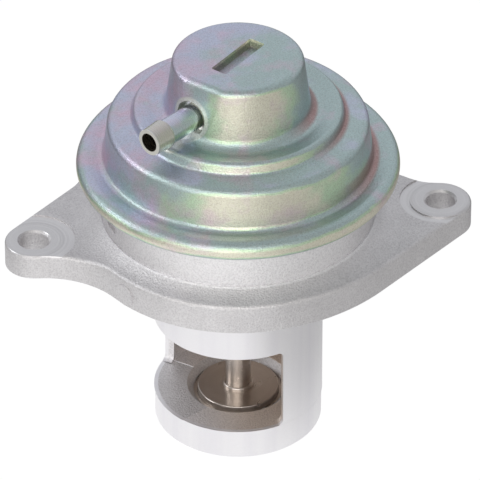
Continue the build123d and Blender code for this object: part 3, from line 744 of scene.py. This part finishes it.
def plated_sheet(settings):
    """Yellow zinc on pressed sheet, with reddish-brown painted shade in the valleys on its right,
    painted shade in the top slot, painted light in the hollow round the nipple and painted glints.
    """
    made, tree, shader, place = material("plated_sheet")
    x, _, z = split(tree, place)
    slope = slope_of(tree)
    radius = radius_about(tree, place)
    reach = calc(tree, "MAXIMUM", radius, CUP_RADIUS)
    turn = calc(tree, "DIVIDE", along_way(tree, place, WARM_SIDE), reach)
    aside = calc(tree, "DIVIDE", x, reach)
    inner = fade(tree, radius, WALL_RADIUS - 1.2 * MM, WALL_RADIUS + 1.2 * MM, 1.0, 0.0)
    flank = calc(tree, "MULTIPLY", calc(tree, "MULTIPLY", aside, aside), inner)
    plating = plating_colour(settings)
    tint = use_group(tree, plating, position=place, slope=slope, turn=turn, flank=flank)
    valleys = None
    for low, high, bottom, top in VALLEYS:
        ring = calc(
            tree,
            "MULTIPLY",
            band(tree, radius, low * MM, high * MM, 0.5 * MM),
            band(tree, z, bottom * MM, top * MM, 0.8 * MM),
        )
        valleys = ring if valleys is None else calc(tree, "MAXIMUM", valleys, ring)
    # Painted shade: the valleys turn reddish brown, but only on the right side, away from the key
    # light
    right = fade(tree, calc(tree, "DIVIDE", x, radius), 0.45, 0.98)
    valley_shade_amount = calc(tree, "MULTIPLY", calc(tree, "MULTIPLY", valleys, right), 0.85)
    colour = mix(tree, valley_shade_amount, tint.outputs["Colour"], rgba(settings.valley_shade_colour))
    grain = use_group(tree, blast_grain(), position=place, pitch=ZINC_PITCH)
    dull = calc(tree, "MULTIPLY", calc(tree, "SUBTRACT", grain.outputs["Cloud"], 0.5), 0.16)
    colour = mix(tree, calc(tree, "ADD", 0.03, dull, clamp=True), colour, rgba(ZINC_DULL))
    # Painted shade in the slot on the capsule's top, darkest on its steep walls
    slot = band(tree, z, *SLOT_HEIGHT, 0.15 * MM)
    slot = calc(tree, "MULTIPLY", slot, calc(tree, "LESS_THAN", radius, SLOT_REACH))
    shade = calc(tree, "SUBTRACT", 0.85, calc(tree, "MULTIPLY", slope, 0.65))
    walls = calc(tree, "MULTIPLY", slot, shade)
    colour = mix(tree, walls, colour, rgba(PAINTED_SLOT_SHADE), "MULTIPLY")
    # Painted light: the hollow round the nipple is lightened where it lies in shade
    along, off_axis = nipple_place(tree, place)
    dimple_light_amount = fade(tree, off_axis, DIMPLE_RADIUS - 0.3 * MM, DIMPLE_RADIUS + 0.3 * MM, 0.8, 0.0)
    dimple_light_amount = calc(tree, "MULTIPLY", dimple_light_amount, calc(tree, "GREATER_THAN", along, DIMPLE_START))
    colour = mix(tree, dimple_light_amount, colour, rgba(PAINTED_DIMPLE_LIGHT))
    pits = calc(tree, "SUBTRACT", 0.56, grain.outputs["Height"])
    pits = calc(tree, "MULTIPLY", pits, 2.6, clamp=True)
    colour = mix(tree, pits, colour, rgba(ZINC_PITS), "MULTIPLY")
    # Painted glints: near-white specks of the grain in the colour
    sparkle = calc(tree, "MULTIPLY", grain.outputs["Sparkle"], 0.32)
    colour = mix(tree, sparkle, colour, rgba(ZINC_SPARKLE))
    wire(tree, colour, shader.inputs["Base Color"])
    shader.inputs["Metallic"].default_value = 1.0
    gloss = calc(tree, "MULTIPLY", grain.outputs["Sparkle"], 0.10)
    wire(tree, calc(tree, "ADD", settings.roughness - 0.03, gloss), shader.inputs["Roughness"])
    bump(tree, shader, grain.outputs["Height"], settings.grain)
    return made


def plated_tube(settings):
    """Zinc on the turned nipple and its collar, bare at the cut tip, with painted shade in the
    bore.
    """
    made, tree, shader, place = material("plated_tube")
    plating = plating_colour(settings)
    tint = use_group(tree, plating, position=place, slope=slope_of(tree), turn=0.1, flank=0.3)
    reach, off_axis = nipple_place(tree, place)
    marks = use_group(tree, turning_marks(), distance=reach, pitch=TUBE_PITCH)
    bore = calc(tree, "LESS_THAN", off_axis, NIPPLE_BORE)
    solid = calc(tree, "SUBTRACT", 1.0, bore)
    tip = calc(tree, "MULTIPLY", calc(tree, "GREATER_THAN", reach, NIPPLE_TIP), solid)
    barb = band(tree, reach, *BARB, 0.3 * MM)
    barb = calc(tree, "MULTIPLY", barb, 0.62)
    colour = mix(tree, barb, tint.outputs["Colour"], rgba(BARB_TINT))
    colour = mix(tree, 0.15, colour, rgba(TUBE_GLEAM))
    ring = calc(tree, "MULTIPLY", calc(tree, "LESS_THAN", reach, COLLAR_END), solid)
    colour = mix(tree, calc(tree, "MAXIMUM", tip, ring), colour, rgba(CUT_EDGE))
    # Painted shade: the bore is darkened
    colour = mix(tree, bore, colour, rgba(PAINTED_BORE_SHADE))
    wire(tree, colour, shader.inputs["Base Color"])
    shader.inputs["Metallic"].default_value = 1.0
    streak = calc(tree, "MULTIPLY", marks.outputs["Streak"], 0.16)
    wire(tree, calc(tree, "ADD", 0.19, streak), shader.inputs["Roughness"])
    bump(tree, shader, marks.outputs["Height"], TUBE_DEPTH)
    return made


def cast_aluminium(settings):
    """Blasted casting with turned barrel, spot faces and a duller gas chamber that is browner
    towards the right, with painted light on the drum's front, painted reflection streaks on the
    barrel and painted glints.
    """
    made, tree, shader, place = material("cast_aluminium")
    x, y, z = split(tree, place)
    radius = radius_about(tree, place)
    grain = use_group(tree, blast_grain(), position=place, pitch=CAST_PITCH)
    barrel = calc(tree, "GREATER_THAN", radius, BARREL_RADIUS)
    barrel = calc(tree, "MULTIPLY", calc(tree, "LESS_THAN", z, -0.1 * MM), barrel)
    face = band(tree, z, -0.06 * MM, 0.06 * MM, 0.02 * MM)
    inside = band(tree, z, *WINDOW_HEIGHT, 0.05 * MM)
    inside = calc(tree, "MULTIPLY", inside, calc(tree, "LESS_THAN", radius, CHAMBER_RADIUS))
    spots = []
    for centre in (-EAR_REACH, EAR_REACH):
        away = radius_about(tree, place, (centre, 0.0))
        near = calc(tree, "LESS_THAN", away, SPOT_RADIUS)
        spots.append((away, calc(tree, "MULTIPLY", near, band(tree, z, *SPOT_HEIGHT, 0.05 * MM))))
    spot = calc(tree, "MAXIMUM", spots[0][1], spots[1][1])
    ring_distance = mix_value(tree, spots[1][1], spots[0][0], spots[1][0])
    rings = use_group(tree, turning_marks(), distance=ring_distance, pitch=FACING_PITCH)
    lathe = use_group(tree, turning_marks(), distance=z, pitch=BARREL_PITCH)
    machined = calc(tree, "MAXIMUM", calc(tree, "MAXIMUM", barrel, face), spot)
    cloud = calc(tree, "MULTIPLY", calc(tree, "SUBTRACT", grain.outputs["Cloud"], 0.5), 0.6)
    cloud = calc(tree, "ADD", 0.22, cloud, clamp=True)
    darker = tuple(value * 0.70 for value in settings.cast)
    colour = mix(tree, cloud, rgba(settings.cast), rgba(darker))
    pits = calc(tree, "SUBTRACT", 0.58, grain.outputs["Height"])
    pits = calc(tree, "MULTIPLY", pits, 2.2, clamp=True)
    # Painted glints: near-white specks of the grain in the colour
    sparkle = calc(tree, "MULTIPLY", grain.outputs["Sparkle"], 0.30)
    colour = mix(tree, sparkle, colour, rgba(CAST_SPARKLE))
    # The gas chamber's colour turns browner towards the right
    towards_right = fade(tree, x, -14.0 * MM, 2.0 * MM)
    chamber_tone = mix(tree, towards_right, rgba(CHAMBER_LEFT_TONE), rgba(settings.chamber))
    colour = mix(tree, inside, colour, chamber_tone)
    # Painted light: the front of the drum is lightened where the key light falls, fading out
    # towards the back
    drum_front_light = band(tree, radius, *DRUM_RADIUS, 0.2 * MM)
    drum_front_light = calc(tree, "MULTIPLY", drum_front_light, band(tree, z, *DRUM_HEIGHT, 1.5 * MM))
    drum_front_light = calc(tree, "MULTIPLY", drum_front_light, fade(tree, y, -8.0 * MM, -27.0 * MM))
    colour = mix(tree, calc(tree, "MULTIPLY", drum_front_light, 0.9), colour, rgba(PAINTED_DRUM_LIGHT))
    colour = mix(tree, pits, colour, rgba(CAST_PITS), "MULTIPLY")
    # Painted reflections: soft upright streaks on the turned barrel
    upright = add_node(tree, "ShaderNodeVectorMath", operation="MULTIPLY")
    wire(tree, place, upright.inputs[0])
    upright.inputs[1].default_value = (1.0, 1.0, 0.02)
    streak = noise(tree, upright.outputs[0], 260.0, 2.0, 0.6)
    streak = calc(tree, "MULTIPLY", calc(tree, "SUBTRACT", streak, 0.42), 3.0, clamp=True)
    streak = calc(tree, "MULTIPLY", streak, 0.45)
    bright = mix(tree, streak, rgba(settings.turned), rgba(PAINTED_BARREL_REFLECTION))
    facing = mix(tree, rings.outputs["Streak"], rgba(FACING_DARK), rgba(FACING_LIGHT))
    bright = mix(tree, spot, bright, facing)
    colour = mix(tree, calc(tree, "MULTIPLY", machined, 0.90), colour, bright)
    wire(tree, colour, shader.inputs["Base Color"])
    shader.inputs["Metallic"].default_value = 0.80
    rough = mix_value(tree, machined, 0.48, 0.34)
    rough = mix_value(tree, inside, rough, 0.46)
    wire(tree, rough, shader.inputs["Roughness"])
    height = mix_value(tree, machined, grain.outputs["Height"], 0.5)
    under = bump(tree, shader, height, settings.grain)
    faced = calc(tree, "MULTIPLY", rings.outputs["Height"], 4.0)
    marks = mix_value(tree, spot, lathe.outputs["Height"], faced)
    marks = mix_value(tree, machined, 0.5, marks)
    bump(tree, shader, marks, BARREL_DEPTH, under=under)
    return made


def turned_steel(settings):
    """Warm stainless of the stem, disc, scraper and seat, with turning marks and a fan of gloss."""
    made, tree, shader, place = material("turned_steel")
    radius = radius_about(tree, place)
    level = calc(tree, "GREATER_THAN", slope_of(tree), 0.7)
    along = mix_value(tree, level, split(tree, place)[2], radius)
    marks = use_group(tree, turning_marks(), distance=along, pitch=STEM_PITCH)
    tone = calc(tree, "MULTIPLY", calc(tree, "SUBTRACT", marks.outputs["Streak"], 0.5), 0.5)
    darker = tuple(value * 0.7 for value in settings.stem)
    colour = mix(tree, calc(tree, "ADD", 0.25, tone, clamp=True), rgba(settings.stem), rgba(darker))
    stain = noise(tree, place, 420.0, 3.0, 0.6)
    colour = mix(tree, calc(tree, "MULTIPLY", stain, 0.22), colour, rgba(STEEL_STAIN))
    wire(tree, colour, shader.inputs["Base Color"])
    shader.inputs["Metallic"].default_value = 1.0
    worn = calc(tree, "MULTIPLY", stain, 0.10)
    wire(tree, calc(tree, "ADD", 0.24, worn), shader.inputs["Roughness"])
    shader.inputs["Anisotropic"].default_value = 0.65
    shader.inputs["Anisotropic Rotation"].default_value = 0.25
    around = add_node(tree, "ShaderNodeTangent", direction_type="RADIAL", axis="Z")
    wire(tree, around.outputs[0], shader.inputs["Tangent"])
    scribed = band(tree, radius, *SCRIBED_RING, 0.12 * MM)
    height = calc(tree, "SUBTRACT", marks.outputs["Height"], calc(tree, "MULTIPLY", scribed, 2.0))
    bump(tree, shader, height, STEM_DEPTH)
    return made


def pressed_steel(name, colour_value, roughness, pitch):
    """Plain pressed or drawn metal with a fine grain and duller clouds."""
    made, tree, shader, place = material(name)
    grain = use_group(tree, blast_grain(), position=place, pitch=pitch)
    darker = tuple(value * 0.7 for value in colour_value)
    cloud = calc(tree, "MULTIPLY", grain.outputs["Cloud"], 0.7)
    colour = mix(tree, cloud, rgba(colour_value), rgba(darker))
    wire(tree, colour, shader.inputs["Base Color"])
    shader.inputs["Metallic"].default_value = 1.0
    worn = calc(tree, "MULTIPLY", grain.outputs["Cloud"], 0.12)
    wire(tree, calc(tree, "ADD", roughness, worn), shader.inputs["Roughness"])
    bump(tree, shader, grain.outputs["Height"], SHEET_DEPTH)
    return made


def dull_moulding(name, colour_value, roughness, pitch, depth):
    """Rubber or graphite: a dark body with pores and dusty clouds."""
    made, tree, shader, place = material(name)
    grain = use_group(tree, blast_grain(), position=place, pitch=pitch)
    dusty = tuple(min(1.0, value * 1.9 + 0.01) for value in colour_value)
    cloud = calc(tree, "MULTIPLY", grain.outputs["Cloud"], 0.5)
    wire(tree, mix(tree, cloud, rgba(colour_value), rgba(dusty)), shader.inputs["Base Color"])
    worn = calc(tree, "MULTIPLY", grain.outputs["Sparkle"], 0.08)
    wire(tree, calc(tree, "ADD", roughness, worn), shader.inputs["Roughness"])
    bump(tree, shader, grain.outputs["Height"], depth)
    return made


# New pieces


def finished_piece(name, shape, made):
    """Object from a bmesh, with its finish."""
    bmesh.ops.remove_doubles(shape, verts=shape.verts, dist=0.002 * MM)
    bmesh.ops.recalc_face_normals(shape, faces=shape.faces)
    data = bpy.data.meshes.new(name)
    shape.to_mesh(data)
    shape.free()
    data.materials.append(made)
    data.polygons.foreach_set("use_smooth", [True] * len(data.polygons))
    piece = bpy.data.objects.new(name, data)
    bpy.context.scene.collection.objects.link(piece)
    return piece


def chain(shape, points):
    """Open chain of edges through points given as radius and height in millimetres."""
    verts = [shape.verts.new((radius * MM, 0.0, height * MM)) for radius, height in points]
    return verts, [shape.edges.new(pair) for pair in zip(verts, verts[1:])]


def lathe_piece(name, points, steps, made):
    """Turn a chain of points about the stem's axis."""
    shape = bmesh.new()
    verts, edges = chain(shape, points)
    bmesh.ops.spin(
        shape,
        geom=verts + edges,
        cent=(0, 0, 0),
        axis=(0, 0, 1),
        angle=2 * math.pi,
        steps=steps,
        use_merge=True,
    )
    return finished_piece(name, shape, made)


# Operators


class GASVALVE_OT_capsule(bpy.types.Operator):
    """Plate the capsule, its hose nipple and the nipple's collar."""

    bl_idname = "gasvalve.capsule"
    bl_label = "Capsule"

    def execute(self, context):
        settings = context.scene.gasvalve_zinc
        dress("capsule_cap", plated_sheet(settings))
        tube = plated_tube(settings)
        dress("vacuum_nipple", tube)
        dress("nipple_collar", tube)
        return {"FINISHED"}


class GASVALVE_OT_body(bpy.types.Operator):
    """Finish the body casting."""

    bl_idname = "gasvalve.body"
    bl_label = "Body casting"

    def execute(self, context):
        dress("valve_body", cast_aluminium(context.scene.gasvalve_casting))
        return {"FINISHED"}


class GASVALVE_OT_valve(bpy.types.Operator):
    """Finish the stem, disc, seat, guide and diaphragm plates."""

    bl_idname = "gasvalve.valve"
    bl_label = "Stem and disc"

    def execute(self, context):
        settings = context.scene.gasvalve_steel
        turned = turned_steel(settings)
        for name in (
            "valve_stem",
            "poppet_disc",
            "poppet_collar",
            "valve_seat_ring",
            "deposit_scraper",
        ):
            dress(name, turned)
        pressed = pressed_steel("pressed_steel", settings.pressed, 0.28, 0.5 * MM)
        for name in (
            "lower_plate",
            "spring_cup",
            "clamp_washer",
            "seal_retainer",
            "seal_backing_washer",
            "spring_top_seat",
        ):
            dress(name, pressed)
        tempered = pressed_steel("disc_spring_steel", settings.tempered, 0.26, 0.4 * MM)
        dress("packing_disc_spring", tempered)
        dress("stem_guide_bush", pressed_steel("sintered_bronze", settings.bronze, 0.42, 0.3 * MM))
        packing = dull_moulding("packing_graphite", settings.packing, 0.55, 0.3 * MM, 0.02 * MM)
        dress("stem_seal_ring", packing)
        return {"FINISHED"}


class GASVALVE_OT_diaphragm(bpy.types.Operator):
    """Turn the rubber diaphragm: a bead on the rim, and a roll inside it."""

    bl_idname = "gasvalve.diaphragm"
    bl_label = "Diaphragm"

    def execute(self, context):
        settings = context.scene.gasvalve_diaphragm
        rubber = dull_moulding("diaphragm_rubber", settings.colour, 0.62, 0.6 * MM, 0.04 * MM)
        roll = lathe_piece("diaphragm_roll", ROLL_LINE, settings.steps, rubber)
        edge = lathe_piece("diaphragm_edge", EDGE_LINE, settings.steps, rubber)
        ring = lathe_piece("diaphragm_bead", BEAD_LINE, settings.steps, rubber)
        for piece in (roll, edge):
            thick = piece.modifiers.new("Thickness", "SOLIDIFY")
            thick.thickness = settings.thickness
            thick.offset = 0.0
        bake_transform(roll)
        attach(edge, "housing")
        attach(ring, "housing")
        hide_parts("diaphragm")
        return {"FINISHED"}


class GASVALVE_OT_spring(bpy.types.Operator):
    """Wind the return spring with ground ends."""

    bl_idname = "gasvalve.spring"
    bl_label = "Return spring"

    def execute(self, context):
        settings = context.scene.gasvalve_spring
        low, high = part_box("return_spring")
        shape = bmesh.new()
        upright = Matrix.Rotation(math.pi / 2, 4, "X")
        made = bmesh.ops.create_circle(
            shape,
            cap_ends=False,
            segments=settings.sides,
            radius=settings.wire / 2,
            matrix=Matrix.Translation((settings.radius, 0, low.z)) @ upright,
        )
        steps = round(settings.turns * settings.steps)
        ring = made["verts"] + list({edge for vert in made["verts"] for edge in vert.link_edges})
        bmesh.ops.spin(
            shape,
            geom=ring,
            cent=(0, 0, 0),
            axis=(0, 0, 1),
            dvec=(0, 0, (high.z - low.z) / steps),
            angle=2 * math.pi * settings.turns,
            steps=steps,
        )
        for height, up in ((low.z, -1), (high.z, 1)):
            everything = shape.verts[:] + shape.edges[:] + shape.faces[:]
            bmesh.ops.bisect_plane(
                shape,
                geom=everything,
                plane_co=(0, 0, height),
                plane_no=(0, 0, up),
                clear_outer=True,
            )
            rim = [edge for edge in shape.edges if edge.is_boundary]
            bmesh.ops.holes_fill(shape, edges=rim, sides=0)
        steel = pressed_steel("spring_steel", settings.colour, 0.30, 0.3 * MM)
        spring = finished_piece("return_spring_coil", shape, steel)
        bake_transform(spring)
        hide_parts("return_spring")
        return {"FINISHED"}


class GASVALVE_OT_stage(bpy.types.Operator):
    """Set the pale floor, the soft lights, the surroundings and the camera."""

    bl_idname = "gasvalve.stage"
    bl_label = "Studio"

    def execute(self, context):
        settings = context.scene.gasvalve_studio
        self.floor(settings)
        self.surroundings(context, settings)
        self.lights(settings)
        self.camera(context, settings)
        return {"FINISHED"}

    def floor(self, settings):
        """Pale floor under the barrel, white to the camera and to reflections."""
        shape = bmesh.new()
        level = Matrix.Translation((0, 0, cad_box[0].z))
        bmesh.ops.create_grid(shape, x_segments=1, y_segments=1, size=FLOOR_REACH, matrix=level)
        data = bpy.data.meshes.new("studio_floor")
        shape.to_mesh(data)
        shape.free()
        floor = bpy.data.objects.new("studio_floor", data)
        bpy.context.scene.collection.objects.link(floor)
        made = bpy.data.materials.new("studio_paper")
        made.use_nodes = True
        tree = made.node_tree
        tree.nodes.clear()
        paper = add_node(tree, "ShaderNodeBsdfDiffuse")
        paper.inputs["Color"].default_value = rgba(PAPER)
        glow = add_node(tree, "ShaderNodeEmission")
        glow.inputs["Color"].default_value = rgba(WHITE)
        straight, mirrored = mirrored_rays(tree)
        place = add_node(tree, "ShaderNodeTexCoord").outputs["Object"]
        right, back = camera_ways(settings)
        pool = mirrored
        for way, (near, far, left_over) in (
            (right, FALL_RIGHT),
            (-right, FALL_LEFT),
            (-back, FALL_BACK),
        ):
            fall = fade(tree, along_way(tree, place, way), near, far, 1.0, left_over)
            pool = calc(tree, "MULTIPLY", pool, fall)
        seen = calc(tree, "MULTIPLY", straight, PAPER_GLOW)
        wire(tree, calc(tree, "MAXIMUM", seen, pool), glow.inputs["Strength"])
        share = calc(tree, "MULTIPLY", straight, PAPER_GLOW_SHARE)
        share = calc(tree, "MAXIMUM", share, mirrored)
        finish_tree(tree, share, paper, glow, "ShaderNodeOutputMaterial")
        data.materials.append(made)

    def surroundings(self, context, settings):
        """White to the camera; to the object, grey walls that are palest in front and behind."""
        world = bpy.data.worlds.new("studio_walls")
        context.scene.world = world
        world.use_nodes = True
        tree = world.node_tree
        tree.nodes.clear()
        ray = add_node(tree, "ShaderNodeTexCoord").outputs["Generated"]
        back = camera_ways(settings)[1]
        front = calc(tree, "ADD", calc(tree, "MULTIPLY", along_way(tree, ray, back), 0.5), 0.5)
        grey = add_node(tree, "ShaderNodeBackground")
        wire(tree, ramp(tree, front, WALL_TONES, "EASE"), grey.inputs["Color"])
        grey.inputs["Strength"].default_value = settings.sky
        white = add_node(tree, "ShaderNodeBackground")
        white.inputs["Color"].default_value = rgba(WHITE)
        white.inputs["Strength"].default_value = 1.0
        straight, mirrored = mirrored_rays(tree)
        share = calc(tree, "MULTIPLY", mirrored, WHITE_WALL_SHARE)
        share = calc(tree, "MAXIMUM", straight, share)
        finish_tree(tree, share, grey, white, "ShaderNodeOutputWorld")

    def lights(self, settings):
        """Wide softbox low at the front left and a small weak one at the left."""
        for name, power, place, side, colour in SOFTBOXES:
            data = bpy.data.lights.new(name, "AREA")
            data.shape = "SQUARE"
            data.size = side
            data.energy = getattr(settings, power)
            data.color = colour
            lamp = bpy.data.objects.new(name, data)
            lamp.location = place
            lamp.rotation_mode = "QUATERNION"
            lamp.rotation_quaternion = (Vector(LAMP_AIM) - Vector(place)).to_track_quat("-Z", "Y")
            bpy.context.scene.collection.objects.link(lamp)

    def camera(self, context, settings):
        """Camera at the photograph's viewing angle."""
        level = math.cos(settings.elevation)
        back = Vector(
            (
                math.sin(settings.azimuth) * level,
                -math.cos(settings.azimuth) * level,
                math.sin(settings.elevation),
            )
        )
        right = camera_ways(settings)[0]
        aim = Vector((0, 0, settings.aim_height)) + right * settings.aim_side
        data = bpy.data.cameras.new("catalogue_camera")
        data.sensor_width = 36.0
        data.lens = settings.lens
        data.clip_start = 0.05
        data.clip_end = 50.0
        camera = bpy.data.objects.new("catalogue_camera", data)
        camera.location = aim + back * settings.distance
        camera.rotation_mode = "QUATERNION"
        camera.rotation_quaternion = (-back).to_track_quat("-Z", "Y")
        context.scene.collection.objects.link(camera)
        context.scene.camera = camera
        context.scene.view_settings.view_transform = "Standard"


class GASVALVE_PT_panel(bpy.types.Panel):
    """Lists the finishes, pieces and studio."""

    bl_idname = "GASVALVE_PT_panel"
    bl_label = "Gas Valve"
    bl_space_type = "VIEW_3D"
    bl_region_type = "UI"
    bl_category = "Gas Valve"

    def draw(self, context):
        for operator, group in STEPS:
            box = self.layout.box()
            box.operator(operator)
            if group:
                settings = getattr(context.scene, group)
                for name in settings.bl_rna.properties.keys():
                    if name not in ("rna_type", "name"):
                        box.prop(settings, name)


STEPS = (
    ("gasvalve.body", "gasvalve_casting"),
    ("gasvalve.capsule", "gasvalve_zinc"),
    ("gasvalve.valve", "gasvalve_steel"),
    ("gasvalve.diaphragm", "gasvalve_diaphragm"),
    ("gasvalve.spring", "gasvalve_spring"),
    ("gasvalve.stage", "gasvalve_studio"),
)

SETTINGS = {
    "gasvalve_zinc": ZincSettings,
    "gasvalve_casting": CastingSettings,
    "gasvalve_steel": SteelSettings,
    "gasvalve_spring": SpringSettings,
    "gasvalve_diaphragm": DiaphragmSettings,
    "gasvalve_studio": StudioSettings,
}

CLASSES = (
    *SETTINGS.values(),
    GASVALVE_OT_capsule,
    GASVALVE_OT_body,
    GASVALVE_OT_valve,
    GASVALVE_OT_diaphragm,
    GASVALVE_OT_spring,
    GASVALVE_OT_stage,
    GASVALVE_PT_panel,
)


def register():
    """Add the classes and their settings."""
    for kind in CLASSES:
        bpy.utils.register_class(kind)
    for name, kind in SETTINGS.items():
        setattr(bpy.types.Scene, name, PointerProperty(type=kind))


def unregister():
    """Take the settings and classes away again."""
    for name in SETTINGS:
        delattr(bpy.types.Scene, name)
    for kind in reversed(CLASSES):
        bpy.utils.unregister_class(kind)


def main():
    """Run every step."""
    register()
    bpy.ops.gasvalve.body()
    bpy.ops.gasvalve.capsule()
    bpy.ops.gasvalve.valve()
    bpy.ops.gasvalve.diaphragm()
    bpy.ops.gasvalve.spring()
    bpy.ops.gasvalve.stage()


if __name__ == "__main__":
    main()
